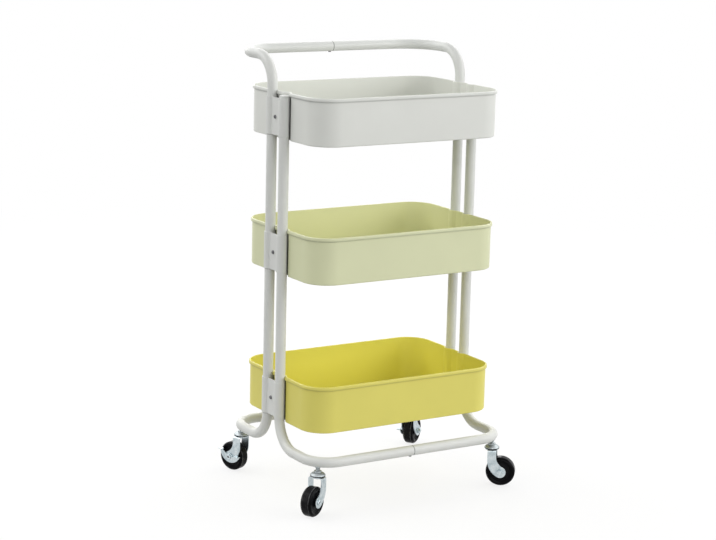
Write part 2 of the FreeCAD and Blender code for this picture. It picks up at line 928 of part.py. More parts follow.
def make_weld_nuts():
    """The threaded nuts in the base tubes that the caster stems screw into."""
    nuts = []
    for corner, (across, along, _, _) in CASTERS.items():
        body = new_body(corner + "_weld_nut")
        section = plane_sketch(body, "XY_Plane", "base_z - tube_diameter/2")
        add_circle(section, "0", "0", "weld_nut_width/2")
        add_circle(section, "0", "0", "stem_diameter/2 + thread_play")
        pad(body, section, "tube_diameter/2 + weld_nut_rise")
        body.Placement = Placement(Vector(size("caster_x") * across, size("caster_y") * along, 0), Rotation())
        nuts.append(body)
    group("weld_nuts", nuts)


# Assembly

make_rear_tubes()
make_front_tubes()
for seam_name, seam_place in seam_points().items():
    make_sleeve(seam_name, seam_place)
make_joint_screws()
for side_name, side_turn in SIDES.items():
    make_tube_cap(side_name, side_turn)
for tier_name in TRAYS:
    make_tray(tier_name)
    for side_name in SIDES:
        make_clamp(f"{tier_name}_{side_name}_clamp", side_name, tier_name)
make_clamp_fasteners()
make_weld_nuts()
for corner_name, caster in CASTERS.items():
    make_caster(corner_name, *caster)
doc.recompute()

# Checks and export

for item in doc.Objects:
    if "Invalid" in item.State or "Error" in item.State:
        raise RuntimeError(f"{item.Label} failed: {item.State}")
os.makedirs("parts", exist_ok=True)
for item in nodes:
    if item.Shape.isNull() or not item.Shape.isValid():
        raise RuntimeError(f"{item.Label} has no valid shape")
for item in nodes:
    item.Shape.exportStep(f"parts/{item.Label}.step")
print(len(nodes), "nodes written")
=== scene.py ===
import json
import math

import bmesh
import bpy
from mathutils import Matrix, Vector


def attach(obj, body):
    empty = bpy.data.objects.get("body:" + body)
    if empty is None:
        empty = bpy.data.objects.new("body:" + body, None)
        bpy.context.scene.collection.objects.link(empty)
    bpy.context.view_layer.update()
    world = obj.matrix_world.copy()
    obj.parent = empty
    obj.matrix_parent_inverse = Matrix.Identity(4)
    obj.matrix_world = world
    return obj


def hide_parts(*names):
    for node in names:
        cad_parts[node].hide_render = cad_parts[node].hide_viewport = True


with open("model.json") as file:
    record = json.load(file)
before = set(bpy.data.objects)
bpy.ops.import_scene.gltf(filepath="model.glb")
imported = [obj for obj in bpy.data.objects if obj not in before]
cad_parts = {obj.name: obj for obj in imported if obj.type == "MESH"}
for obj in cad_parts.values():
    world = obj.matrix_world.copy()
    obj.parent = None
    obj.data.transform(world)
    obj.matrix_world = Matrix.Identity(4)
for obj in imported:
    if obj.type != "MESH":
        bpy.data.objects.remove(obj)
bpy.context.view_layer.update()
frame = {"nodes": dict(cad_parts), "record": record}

# Sizes are in millimetres until a mesh is made, and angles in degrees.
MM = 0.001

# The photograph's camera
IMAGE_WIDTH = 716
FOCAL_PIXELS = 2028.8
SENSOR_WIDTH = 36
CAMERA_PLACE = Vector((-2001.2, -3184.1, 1187.9))
CAMERA_YAW = 31.79
CAMERA_PITCH = 11.71
CAMERA_ROLL = 1.41

# Trays
TRAY_BOTTOMS = {"bottom": 144.5, "middle": 420, "top": 670}
TRAY_LENGTH = 400
TRAY_WIDTH = 275
TRAY_HEIGHT = 87
TRAY_CORNER = 47
SHEET = 1
FLOOR_BEND = 2.2
FLOOR_MARGIN = 5.8
RIM_OUT = 2.5
RIM_DROP = 6.5
RIM_FOLD = 2.2
RIM_FOLD_ROUND = 0.6
RIM_TOP_ROUND = 2.2
RIM_INNER_ROUND = 1.2
RIM_FOOT_ROUND = 0.48
GROOVE_RADIUS = 12.1
GROOVE_SHOULDER = 6

# Tube frame, and the way that each side lies along X
SIDES = {"right": 1, "left": -1}
TUBE_RADIUS = 9.5
TUBE_BORE = 8.5
UPRIGHT_X = 205.7
UPRIGHT_Y = 22.8
HANDLE_Y = 160.5
HANDLE_Z = 817.5
HANDLE_DROP_BEND = 51
HANDLE_PLAN_BEND = 66.5
BASE_Y = 161.7
BASE_Z = 97.5
BASE_DROP_BEND = 55
BASE_PLAN_BEND = 48
FRONT_TOP_Z = 750
SEAM_GAP = 0.2
TUBE_END_BEVEL = 0.5
CAP_DEPTH = 4
CAP_RISE = 2
CAP_ROUND = 1.5

# Clamp plates
CLAMP_PLAY = 0.05
CLAMP_GAUGE = 1.5
CLAMP_RISE = 7.5
CLAMP_HEIGHT = 68.5
CLAMP_STRIP = 5.8
CLAMP_FOLD = 2.5
CLAMP_LIP_X = 204.2
PLATE_EDGE = 0.35

# Screws: radius and length of the shank, radius and height of the head, reach of the socket
CLAMP_SCREW = (2, 11, 3.5, 2.4, 1.4)
CLAMP_SCREW_RISE = 41
SEAM_SCREW = (1.75, 8, 3, 1.6, 1.1)
SEAM_SCREW_X = -4.5
# Shares of the head's height
SOCKET_FLOOR = 0.4
BUTTON_ROUND = 0.62
# Share of the socket's reach
SOCKET_MOUTH = 1.35

# Casters: the side and the end of the cart, the way the wheel trails from +X, and whether it has a brake
CASTERS = {
    "front_left": (-1, -1, 209, False),
    "front_right": (1, -1, -40, False),
    "rear_left": (-1, 1, 112, True),
    "rear_right": (1, 1, 36, True),
}
CASTER_X = 193.4
CASTER_Y = 145.8
TRAIL = 18

# Wheels: tyre and hub
WHEEL_RADIUS = 28
TREAD_HALF = 6
TYRE_HALF = 11
TYRE_FOOT_HALF = 9.5
TYRE_SHOULDER = 23
TYRE_ROUND = 8.5
CHANNEL_WIDTH = 1.3
CHANNEL_DEPTH = 0.8
CHANNEL_LIP = 0.5
CHANNEL_SIDE_SHARE = 0.25
PARTING_HALF = 0.4
PARTING_DEPTH = 0.35
HUB_RADIUS = 19
HUB_RIM_INSIDE = 16.5
HUB_RIM_HALF = 8.5
HUB_WEB_HALF = 7
HUB_WEB_RISE = 2
HUB_BOSS = 6.5
HUB_BOSS_HALF = 12.2

# Forks
FORK_OUTER = 14.3
FORK_GAUGE = 1.8
FORK_BEND = 4
FORK_FRONT = -7
FORK_BACK = 9.8
FORK_BOW_Z = 51
FORK_NECK_Z = 58
FORK_EYE = 11
CROWN_TOP = 71
CROWN_RADIUS = 12.5

# Cups over the swivel bearings
CUP_TOP = 81.5
CUP_HAT = 7
CUP_HAT_Z = 79
CUP_DOME = 10
CUP_RADIUS = 14.25
CUP_INSIDE = 12.95
CUP_SIDE_Z = 74.1
CUP_UNDER_Z = 74.5
CUP_SKIRT_Z = 71.7

# Stems
STEM_RADIUS = 4
STEM_PITCH = 1.25
STEM_THREAD = 0.55
STEM_TOP = 101.5
STEM_FOOT = 6.5
STEM_FOOT_LOW = 66.7
STEM_FOOT_HIGH = 69.1

# Axles and their nuts
AXLE_RADIUS = 3
AXLE_HEAD = 5
AXLE_HEAD_HEIGHT = 2.2
AXLE_DIMPLE = 2.6
AXLE_DIMPLE_DEPTH = 0.9
AXLE_TAIL = 5.5
# Half the thickness of the dark disc of painted shade in each rivet's dimple
SHADE_DISC_HALF = 0.1
NUT_HALF = 5
NUT_HEIGHT = 4.5

# Brake pedals
BRAKE_GAP = 0.3
BRAKE_GAUGE = 1.8
BRAKE_REACH = 25
BRAKE_TIP = 11
BRAKE_WAIST = 3.5
BRAKE_BOSS = 8
BRAKE_SWEEP = 25.3
BRAKE_TAB = 9
BRAKE_TAB_OUT = 6.8
BRAKE_TAB_ROUND = 0.6
BRAKE_REST = -15

# Small lengths that many pieces share: play in a bore, the round of a plain edge, and next to nothing
FIT = 0.05
EASE = 0.4
POINT = 0.05

# Meshes: how finely forms are divided, and where they are merged, bevelled and shaded smooth
SMOOTH_ANGLE = 32
MERGE_DISTANCE = 0.001
BEVEL_SEGMENTS = 3
BEVEL_ANGLE = 50
ROUND_STEPS = 72
TYRE_STEPS = 96
ARC_STEP = 4
LEAST_ARC_STEPS = 2
SUPPORT = 1.5
LONG_STRETCH = 4 * SUPPORT
THREAD_ROWS = 8
FORK_EYE_ANGLES = range(-84, 60, 6)
FORK_LEG_STEPS = 24
FORK_BEND_ANGLES = range(15, 90, 15)
FORK_CROWN_STEPS = 8
FORK_COLUMNS = 8

# Colours, linear
FRAME_WHITE = (0.665, 0.675, 0.65)
TRAY_COLOURS = {
    "bottom": (0.695, 0.63, 0.13),
    "middle": (0.67, 0.69, 0.44),
    "top": (0.70, 0.71, 0.67),
}
# Painted bounce light: deeper, more saturated colours inside, standing in for light bounced between the walls
TRAY_INSIDE_BOUNCE_COLOURS = {
    "bottom": (0.72, 0.66, 0.1),
    "middle": (0.685, 0.69, 0.385),
    "top": (0.695, 0.705, 0.65),
}
ZINC_COOL = (0.40, 0.47, 0.50)
ZINC_WARM = (0.63, 0.68, 0.70)
ZINC_DULL = (0.36, 0.39, 0.40)
# Grease with painted shade, in a band under the swivel cups
GREASE_AND_SHADE = (0.05, 0.052, 0.055)
SCREW_DARK = (0.13, 0.13, 0.135)
RUBBER = (0.002, 0.002, 0.0026)
# Painted highlight along the tyres' channels and lips
RUBBER_HIGHLIGHT = (0.16, 0.16, 0.165)
HUB_BLACK = (0.005, 0.005, 0.006)
NYLON = (0.6, 0.6, 0.57)

# Painted light: shade under the rims, by uprights, in seams and under clamps, tyre highlights, grease and
# shade at swivels
RIM_SHADE_HALF = 2.6
RIM_SHADE_SHARE = 0.72
PAINTED_HIGHLIGHT_ATTRIBUTE = "painted_light_mark"
TREAD_HIGHLIGHT_SHARE = 0.1
UPRIGHT_SHADE_FULL = 13.6
UPRIGHT_SHADE_END = 15
PAINTED_SHADE_SHARE = 0.3
SEAM_SHADE_HALF = 1.2
CLAMP_SHADOW_HALF = 0.9
GREASE_AND_SHADE_Z = 72.6
GREASE_AND_SHADE_HALF = 1.4
GREASE_AND_SHADE_WAVER = 0.8

# Finishes: a cloud is (cells per metre, octaves), and a bump is a cloud with its height and strength.
# Shades are shares of a colour, between which a cloud runs, and smears are the clouds of the roughness.
NOISE_ROUGHNESS = 0.55
NOISE_MIDDLE = (0.3, 0.7)
PAINT_CLOUD = (9, 2)
PAINT_SHADES = (0.975, 1.02)
PAINT_SMEAR = (60, 2)
PAINT_ROUGHNESS = (0.42, 0.52)
PAINT_PEEL = (520, 2, 0.06, 0.5)
PAINT_GRAIN = (2600, 2, 0.02, 0.35)
PAINT_GLOSS = 0.6
ZINC_CLOUD = (130, 4)
ZINC_SMEAR = (420, 4)
ZINC_ROUGHNESS = (0.24, 0.4)
ZINC_MARKS = (900, 4, 0.03, 0.4)
ZINC_DULL_Z = 74.3
ZINC_DULLING = 0.2
SWIVEL_BAND_CLOUD = (350, 2)
SCREW_CLOUD = (500, 3)
SCREW_SHADES = (0.7, 1.5)
SCREW_SMEAR = (900, 2)
SCREW_ROUGHNESS = (0.35, 0.5)
SCREW_GRAIN = (2200, 2, 0.02, 0.4)
SCREW_METALLIC = 0.8
MOULD_CLOUD = (160, 3)
MOULD_SHADES = (0.85, 1.25)
MOULD_SMEAR = (300, 3)
HIGHLIGHT_CLOUD = (110, 2)
HIGHLIGHT_SHARES = (0.2, 1)
# Moulded finishes: colour, range of roughness, the grain's bump, gloss, and whether painted highlights go on
# it
MOULDED = {
    "cap_plastic": (FRAME_WHITE, (0.35, 0.45), (1400, 2, 0.04, 0.4), 0.5, False),
    "race_plastic": (NYLON, (0.4, 0.5), (1200, 2, 0.04, 0.4), 0.5, False),
    "hub_plastic": (HUB_BLACK, (0.25, 0.38), (1500, 2, 0.04, 0.4), 0.08, False),
    "tyre_rubber": (RUBBER, (0.14, 0.26), (1100, 2, 0.04, 0.4), 0.05, True),
}

# Stage
WHITE = (1, 1, 1, 1)
PLAIN_LEVEL = 1.0
SKY_LEVEL = 0.2
FLOOR_SIZE = 60000
FLOOR_COLOUR = (0.95, 0.95, 0.95, 1)
FLOOR_SHADOW_SHARE = 0.2
NEAR_BOUNCE = (0.63, 0.63, 0.63)
FAR_BOUNCE = (0.28, 0.28, 0.28)
# Distances from the middle between which the floor turns plain white, and returns less light
FADE_START = 700
FADE_END = 3000
DIM_START = 300
DIM_END = 900
LIGHT_TARGET = Vector((0, 0, 450))
LIGHT_DISTANCE = 4500
SOFTBOX_HEIGHT = 2600
# Each softbox's azimuth from +X, its elevation, its width and its power in watts
SOFTBOXES = {
    "front_right_softbox": (-45, 19, 4200, 112),
    "front_softbox": (-105, 19, 4200, 66),
    "right_softbox": (15, 39, 4200, 88),
    "back_softbox": (75, 19, 4200, 88),
    "back_left_softbox": (135, 39, 4200, 116),
    "left_softbox": (180, 19, 1800, 30),
}


# Points and outlines


def arc(centre, radius, start, end):
    """Points along an arc from start to end in degrees, either way round."""
    steps = max(LEAST_ARC_STEPS, round(abs(end - start) / ARC_STEP))
    points = []
    for index in range(steps + 1):
        angle = math.radians(start + (end - start) * index / steps)
        points.append((centre[0] + radius * math.cos(angle), centre[1] + radius * math.sin(angle)))
    return points


def arc_about(centre, first, last):
    """The shorter arc about a centre between two points at the same distance from it."""
    start = Vector(first) - Vector(centre)
    end = Vector(last) - Vector(centre)
    begin = math.degrees(math.atan2(start.y, start.x))
    turn = math.degrees(math.atan2(start.cross(end), start.dot(end)))
    return arc(centre, start.length, begin, begin + turn)


def bowed(first, last, radius):
    """An arc of the given radius between two points, bowed to the right of the way along it."""
    chord = Vector(last) - Vector(first)
    left = Vector((-chord.y, chord.x)).normalized()
    rise = math.sqrt(radius**2 - (chord.length / 2) ** 2)
    return arc_about(Vector(first) + chord / 2 + left * rise, first, last)


def rounded(corners, closed=False):
    """The outline through (x, y, radius) corners, each turned as an arc of its radius."""
    points = []
    count = len(corners)
    for index, (x, y, radius) in enumerate(corners):
        at_end = not closed and index in (0, count - 1)
        if radius == 0 or at_end:
            points.append((x, y))
            continue
        corner = Vector((x, y))
        back = (Vector(corners[index - 1][:2]) - corner).normalized()
        on = (Vector(corners[(index + 1) % count][:2]) - corner).normalized()
        half = back.angle(on) / 2
        centre = corner + (back + on).normalized() * (radius / math.sin(half))
        reach = radius / math.tan(half)
        points += arc_about(centre, corner + back * reach, corner + on * reach)
    return points


def with_supports(points, closed):
    """Adds a point near each end of the long straight stretches, so that they shade flat."""
    made = []
    count = len(points)
    for index, point in enumerate(points):
        made.append(point)
        if index == count - 1 and not closed:
            break
        here = Vector(point)
        there = Vector(points[(index + 1) % count])
        length = (there - here).length
        if length > LONG_STRETCH:
            made.append(tuple(here.lerp(there, SUPPORT / length)))
            made.append(tuple(here.lerp(there, 1 - SUPPORT / length)))
    return made


def mirrored(profile):
    """A profile of (radius, height) from its low end to height 0, carried on to the same end above."""
    return profile + [(radius, -height) for radius, height in reversed(profile)]


# Meshes


def loft(rings, closed_rows=False, closed_ring=True, capped=True):
    """Quads between neighbouring rings of equally many points, and the vertices they use."""
    size = len(rings[0])
    verts = [point for ring in rings for point in ring]
    faces = []
    rows = len(rings) if closed_rows else len(rings) - 1
    columns = size if closed_ring else size - 1
    for row in range(rows):
        below = row * size
        above = ((row + 1) % len(rings)) * size
        for column in range(columns):
            beside = (column + 1) % size
            faces.append((below + column, below + beside, above + beside, above + column))
    if capped:
        faces.append(tuple(range(size)))
        faces.append(tuple(range(len(verts) - size, len(verts))))
    return verts, faces


def add_piece(name, shape, body, slot, nodes=(), place=None):
    """Makes a piece from vertices and faces in millimetres, and sets it on its body."""
    verts, faces = shape
    mesh = bpy.data.meshes.new(name)
    mesh.from_pydata([Vector(vert) for vert in verts], [], faces)
    mesh.transform(Matrix.Scale(MM, 4) @ (place or Matrix()))
    edit = bmesh.new()
    edit.from_mesh(mesh)
    bmesh.ops.remove_doubles(edit, verts=edit.verts, dist=MERGE_DISTANCE * MM)
    bmesh.ops.recalc_face_normals(edit, faces=edit.faces)
    edit.to_mesh(mesh)
    edit.free()
    mesh.shade_smooth()
    mesh.set_sharp_from_angle(angle=math.radians(SMOOTH_ANGLE))
    mesh.materials.append(MATERIALS[slot])
    piece = bpy.data.objects.new(name, mesh)
    bpy.context.scene.collection.objects.link(piece)
    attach(piece, body)
    if nodes:
        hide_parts(*nodes)
    return piece


def bevel_edges(piece):
    """Rounds the sharp edges of a pressed plate."""
    bevel = piece.modifiers.new("edge_round", "BEVEL")
    bevel.width = PLATE_EDGE * MM
    bevel.segments = BEVEL_SEGMENTS
    bevel.limit_method = "ANGLE"
    bevel.angle_limit = math.radians(BEVEL_ANGLE)
    bevel.harden_normals = True


def join_shapes(*shapes):
    """Several closed shapes as the vertices and faces of one mesh."""
    verts = []
    faces = []
    for more_verts, more_faces in shapes:
        base = len(verts)
        verts += more_verts
        faces += [tuple(base + index for index in face) for face in more_faces]
    return verts, faces


def moved(shape, place):
    """A shape carried to another place."""
    verts, faces = shape
    return [place @ Vector(vert) for vert in verts], faces


def turns(steps=ROUND_STEPS):
    """The angles of a full turn in equal steps, in radians."""
    return [2 * math.pi * index / steps for index in range(steps)]


def lathe(profile, steps=ROUND_STEPS, ring_shaped=False):
    """Turns (radius, height) points about Z. A radius may also be a function of the angle."""
    rings = []
    for radius, height in profile:
        ring = []
        for angle in turns(steps):
            reach = radius(angle) if callable(radius) else radius
            ring.append((reach * math.cos(angle), reach * math.sin(angle), height))
        rings.append(ring)
    return loft(rings, closed_rows=ring_shaped, capped=not ring_shaped)


def slab(outline, low, high):
    """An outline in X and Z, thick along Y from low to high."""
    return loft([[(x, y, z) for x, z in outline] for y in (low, high)])


def turn_about(axis, degrees):
    """A turn about one of the axes through the origin."""
    return Matrix.Rotation(math.radians(degrees), 4, axis)


# Shader nodes


def set_input(tree, socket, value):
    """Sets an input to a value, or links it to another node's socket."""
    if isinstance(value, bpy.types.NodeSocket):
        tree.links.new(value, socket)
    else:
        socket.default_value = value


def set_inputs(tree, node, **inputs):
    """Sets a node's inputs, named with _ for spaces, to values or to other nodes' sockets."""
    for key, value in inputs.items():
        set_input(tree, node.inputs[key.replace("_", " ")], value)


def add_node(tree, kind, settings=None, **inputs):
    """Adds a node with the given settings and inputs."""
    node = tree.nodes.new(kind)
    for key, value in (settings or {}).items():
        setattr(node, key, value)
    set_inputs(tree, node, **inputs)
    return node


def calculate(tree, operation, *values):
    """A number worked out from numbers."""
    node = add_node(tree, "ShaderNodeMath", {"operation": operation})
    for socket, value in zip(node.inputs, values):
        set_input(tree, socket, value)
    return node.outputs[0]


def measure(tree, operation, *vectors):
    """A number worked out from vectors."""
    node = add_node(tree, "ShaderNodeVectorMath", {"operation": operation})
    for socket, vector in zip(node.inputs, vectors):
        tree.links.new(vector, socket)
    return node.outputs["Value"]


def map_range(tree, value, start, end, low, high, interpolation="LINEAR"):
    """Low where a value is at start, high where it is at end, and between them on the way."""
    return add_node(
        tree,
        "ShaderNodeMapRange",
        {"interpolation_type": interpolation},
        Value=value,
        From_Min=start,
        From_Max=end,
        To_Min=low,
        To_Max=high,
    ).outputs["Result"]


def band(tree, value, middle, half):
    """1 where a value is at the middle, falling to 0 at half to each side, all in millimetres."""
    off = calculate(tree, "ABSOLUTE", calculate(tree, "SUBTRACT", value, middle * MM))
    share = calculate(tree, "DIVIDE", off, half * MM)
    return calculate(tree, "MAXIMUM", calculate(tree, "SUBTRACT", 1.0, share), 0.0)


def mix_colours(tree, factor, first, second):
    """A mix of two colours, the first of which may also be another node's socket."""
    node = add_node(tree, "ShaderNodeMix", {"data_type": "RGBA"}, Factor=factor, B=(*second, 1))
    set_input(tree, node.inputs["A"], (*first, 1) if isinstance(first, tuple) else first)
    return node.outputs["Result"]


def mix_shaders(tree, factor, first, second):
    """A mix of two shaders, all of the second where the factor is 1."""
    node = add_node(tree, "ShaderNodeMixShader", Fac=factor)
    tree.links.new(first, node.inputs[1])
    tree.links.new(second, node.inputs[2])
    return node.outputs[0]


def noise(tree, place, cells, octaves):
    """A noise of about so many cells per metre, with finer octaves in it."""
    return add_node(
        tree, "ShaderNodeTexNoise", Vector=place, Scale=cells, Detail=octaves, Roughness=NOISE_ROUGHNESS
    ).outputs["Fac"]


def uneven(tree, place, cloud, low=0, high=1):
    """A cloud whose middle values are stretched to run from low to high."""
    return map_range(tree, noise(tree, place, *cloud), *NOISE_MIDDLE, low, high)


def shade_of(colour, share):
    """A lighter or darker shade of a colour."""
    return tuple(min(1, channel * share) for channel in colour)


def shaded(tree, place, cloud, colour, shades):
    """A colour that runs unevenly from one shade of it to another."""
    dark, light = shades
    return mix_colours(tree, uneven(tree, place, cloud), shade_of(colour, dark), shade_of(colour, light))


def bumps(tree, place, cells, octaves, height, strength, under=None):
    """Normals over fine bumps, which may lie on other ones."""
    relief = noise(tree, place, cells, octaves)
    node = add_node(tree, "ShaderNodeBump", Height=relief, Distance=height * MM, Strength=strength)
    if under:
        tree.links.new(under, node.inputs["Normal"])
    return node.outputs["Normal"]


# Materials

MATERIALS = {}


def start_material(name):
    """Makes a material, and gives its nodes, its shader and the place on the object."""
    material = bpy.data.materials.new(name)
    material.use_nodes = True
    MATERIALS[name] = material
    tree = material.node_tree
    place = add_node(tree, "ShaderNodeTexCoord").outputs["Object"]
    return tree, tree.nodes["Principled BSDF"], place


def paint(name, colour, painted_light):
    """Satin powder coat: a fine orange peel, slightly uneven, and the painted light that the given function
    lays on.
    """
    tree, shader, place = start_material(name)
    coat = shaded(tree, place, PAINT_CLOUD, colour, PAINT_SHADES)
    for mask, other in painted_light(tree, place):
        coat = mix_colours(tree, mask, coat, other)
    peel = bumps(tree, place, *PAINT_PEEL)
    set_inputs(
        tree,
        shader,
        Base_Color=coat,
        Roughness=uneven(tree, place, PAINT_SMEAR, *PAINT_ROUGHNESS),
        Normal=bumps(tree, place, *PAINT_GRAIN, under=peel),
        Specular_IOR_Level=PAINT_GLOSS,
    )


def tray_painted_light(tier):
    """A deeper colour inside the tray for painted bounce light, painted shade along the foot of its rim and
    behind the uprights.
    """
    colour = TRAY_COLOURS[tier]
    rim_foot = TRAY_BOTTOMS[tier] + TRAY_HEIGHT - RIM_DROP
    clamp_top = TRAY_BOTTOMS[tier] + CLAMP_RISE + CLAMP_HEIGHT
    down = -TRAY_WIDTH / 2 * MM

    def painted_light(tree, place):
        x, y, z = add_node(tree, "ShaderNodeSeparateXYZ", Vector=place).outputs
        outward = add_node(tree, "ShaderNodeCombineXYZ", X=x, Y=y, Z=down).outputs[0]
        normal = add_node(tree, "ShaderNodeTexCoord").outputs["Normal"]
        # The sheet faces away from the cart's middle or down outside, and inwards or up inside.
        outside = calculate(tree, "GREATER_THAN", measure(tree, "DOT_PRODUCT", outward, normal), 0.0)
        inside = calculate(tree, "SUBTRACT", 1.0, outside)
        # Painted shade: a darker line along the foot of the rim, on the outside
        painted_light_mark = calculate(tree, "MULTIPLY", band(tree, z, rim_foot, RIM_SHADE_HALF), outside)
        # Painted shade in the grooves behind the uprights, below the clamps' tops
        off_x = calculate(tree, "SUBTRACT", calculate(tree, "ABSOLUTE", x), UPRIGHT_X * MM)
        off_y = calculate(tree, "SUBTRACT", calculate(tree, "ABSOLUTE", y), UPRIGHT_Y * MM)
        squares = calculate(tree, "MULTIPLY_ADD", off_x, off_x, calculate(tree, "MULTIPLY", off_y, off_y))
        from_upright = calculate(tree, "SQRT", squares)
        near = map_range(tree, from_upright, UPRIGHT_SHADE_FULL * MM, UPRIGHT_SHADE_END * MM, 1, 0)
        below = calculate(tree, "LESS_THAN", z, clamp_top * MM)
        upright_shade = calculate(tree, "MULTIPLY", calculate(tree, "MULTIPLY", near, outside), below)
        # Inside, a colour of painted bounce light; outside, painted shade under the rim and by the uprights
        return [
            (inside, TRAY_INSIDE_BOUNCE_COLOURS[tier]),
            (painted_light_mark, shade_of(colour, RIM_SHADE_SHARE)),
            (upright_shade, shade_of(colour, PAINTED_SHADE_SHARE)),
        ]

    return painted_light


def frame_painted_shade(tree, place):
    """Painted shade in the seams at the middle of the tubes, and a thin painted shadow under the clamps' rear
    halves.
    """
    x, y, z = add_node(tree, "ShaderNodeSeparateXYZ", Vector=place).outputs
    rear = calculate(tree, "GREATER_THAN", y, 0.0)
    # Painted shade in the seams, where the tube ends meet
    masks = [band(tree, x, 0, SEAM_SHADE_HALF)]
    for bottom in TRAY_BOTTOMS.values():
        # A thin painted shadow under each clamp's rear half
        line = band(tree, z, bottom + CLAMP_RISE - CLAMP_SHADOW_HALF, CLAMP_SHADOW_HALF)
        masks.append(calculate(tree, "MULTIPLY", line, rear))
    return [(mask, shade_of(FRAME_WHITE, PAINTED_SHADE_SHARE)) for mask in masks]


def zinc(name):
    """Bright zinc plate with cloudy patches and rolling marks, grease and painted shade at the swivels,
    duller above.
    """
    tree, shader, place = start_material(name)
    plate = mix_colours(tree, uneven(tree, place, ZINC_CLOUD), ZINC_COOL, ZINC_WARM)
    height = add_node(tree, "ShaderNodeSeparateXYZ", Vector=place).outputs["Z"]
    waver = noise(tree, place, *SWIVEL_BAND_CLOUD)
    wavering = calculate(tree, "MULTIPLY_ADD", waver, GREASE_AND_SHADE_WAVER * MM, height)
    high = calculate(tree, "GREATER_THAN", wavering, ZINC_DULL_Z * MM)
    # Grease and painted shade: a dark band under the cup, where the bearing lies in shade
    grease_and_shade = calculate(tree, "COMPARE", wavering, GREASE_AND_SHADE_Z * MM, GREASE_AND_SHADE_HALF * MM)
    dulled = mix_colours(tree, high, plate, ZINC_DULL)
    smeared = uneven(tree, place, ZINC_SMEAR, *ZINC_ROUGHNESS)
    set_inputs(
        tree,
        shader,
        Base_Color=mix_colours(tree, grease_and_shade, dulled, GREASE_AND_SHADE),
        Roughness=calculate(tree, "MULTIPLY_ADD", high, ZINC_DULLING, smeared),
        Normal=bumps(tree, place, *ZINC_MARKS),
        Metallic=1,
    )


def dark_metal(name):
    """Blackened steel, patchy and a little worn."""
    tree, shader, place = start_material(name)
    set_inputs(
        tree,
        shader,
        Base_Color=shaded(tree, place, SCREW_CLOUD, SCREW_DARK, SCREW_SHADES),
        Roughness=uneven(tree, place, SCREW_SMEAR, *SCREW_ROUGHNESS),
        Normal=bumps(tree, place, *SCREW_GRAIN),
        Metallic=SCREW_METALLIC,
    )


def moulded(name, colour, roughness, grain, gloss, painted_highlights):
    """Rubber or plastic: faint blotches, a fine moulded grain, and painted highlights where the mesh is
    marked for them.
    """
    tree, shader, place = start_material(name)
    surface_colour = shaded(tree, place, MOULD_CLOUD, colour, MOULD_SHADES)
    # Painted highlights, where the tyre's mesh is marked for them
    if painted_highlights:
        marked = add_node(tree, "ShaderNodeAttribute", {"attribute_name": PAINTED_HIGHLIGHT_ATTRIBUTE}).outputs["Fac"]
        highlight_share = calculate(tree, "MULTIPLY", marked, uneven(tree, place, HIGHLIGHT_CLOUD, *HIGHLIGHT_SHARES))
        surface_colour = mix_colours(tree, highlight_share, surface_colour, RUBBER_HIGHLIGHT)
    set_inputs(
        tree,
        shader,
        Base_Color=surface_colour,
        Roughness=uneven(tree, place, MOULD_SMEAR, *roughness),
        Normal=bumps(tree, place, *grain),
        Specular_IOR_Level=gloss,
    )


def make_materials():
    """Makes each finish that the record names."""
    paint("frame_paint", FRAME_WHITE, frame_painted_shade)
    zinc("zinc_steel")
    dark_metal("dark_screw")
    for name, facts in MOULDED.items():
        moulded(name, *facts)
    for tier, colour in TRAY_COLOURS.items():
        paint(tier + "_tray_paint", colour, tray_painted_light(tier))


def finish_cad_nodes():
    """Gives every node its finish. Most are then replaced by fuller meshes."""
    for row in frame["record"]["subparts"]:
        for place in frame["nodes"][row["node"]].material_slots:
            place.material = MATERIALS[row["material_slot"]]


# Trays


def tray_plan(offset):
    """The tray's outline seen from above, moved out from the wall's outer face by offset."""
    shoulder_x = TRAY_LENGTH / 2 - GROOVE_SHOULDER
    reach = GROOVE_RADIUS + GROOVE_SHOULDER
    shoulder_y = math.sqrt(reach**2 - (UPRIGHT_X - shoulder_x) ** 2)
    lean = math.degrees(math.atan2(shoulder_y, UPRIGHT_X - shoulder_x))
    corner_x = TRAY_LENGTH / 2 - TRAY_CORNER
    corner_y = TRAY_WIDTH / 2 - TRAY_CORNER
    corner = TRAY_CORNER + offset
    shoulder = GROOVE_SHOULDER + offset
    end = arc((corner_x, -corner_y), corner, -90, 0)
    for groove_y in (-UPRIGHT_Y, UPRIGHT_Y):
        end += arc((shoulder_x, groove_y - shoulder_y), shoulder, 0, lean)
        end += arc((UPRIGHT_X, groove_y), GROOVE_RADIUS - offset, 180 + lean, 180 - lean)[1:-1]
        end += arc((shoulder_x, groove_y + shoulder_y), shoulder, -lean, 0)
    end += arc((corner_x, corner_y), corner, 0, 90)
    return with_supports(end + [(-x, -y) for x, y in end], closed=True)


def tray_profile():
    """The wall's section as (offset, height): under the floor, up outside, over the rim and down inside."""
    rim_foot = TRAY_HEIGHT - RIM_DROP
    fold_inside = RIM_OUT - SHEET
    corners = [
        (-FLOOR_MARGIN, 0, 0),
        (0, 0, FLOOR_BEND),
        (0, TRAY_HEIGHT - RIM_FOLD, RIM_FOLD_ROUND),
        (fold_inside, TRAY_HEIGHT - RIM_FOLD, RIM_FOLD_ROUND),
        (fold_inside, rim_foot, RIM_FOOT_ROUND),
        (RIM_OUT, rim_foot, RIM_FOOT_ROUND),
        (RIM_OUT, TRAY_HEIGHT, RIM_TOP_ROUND),
        (-SHEET, TRAY_HEIGHT, RIM_INNER_ROUND),
        (-SHEET, SHEET, FLOOR_BEND - SHEET),
        (-FLOOR_MARGIN, SHEET, 0),
    ]
    return with_supports(rounded(corners), closed=False)


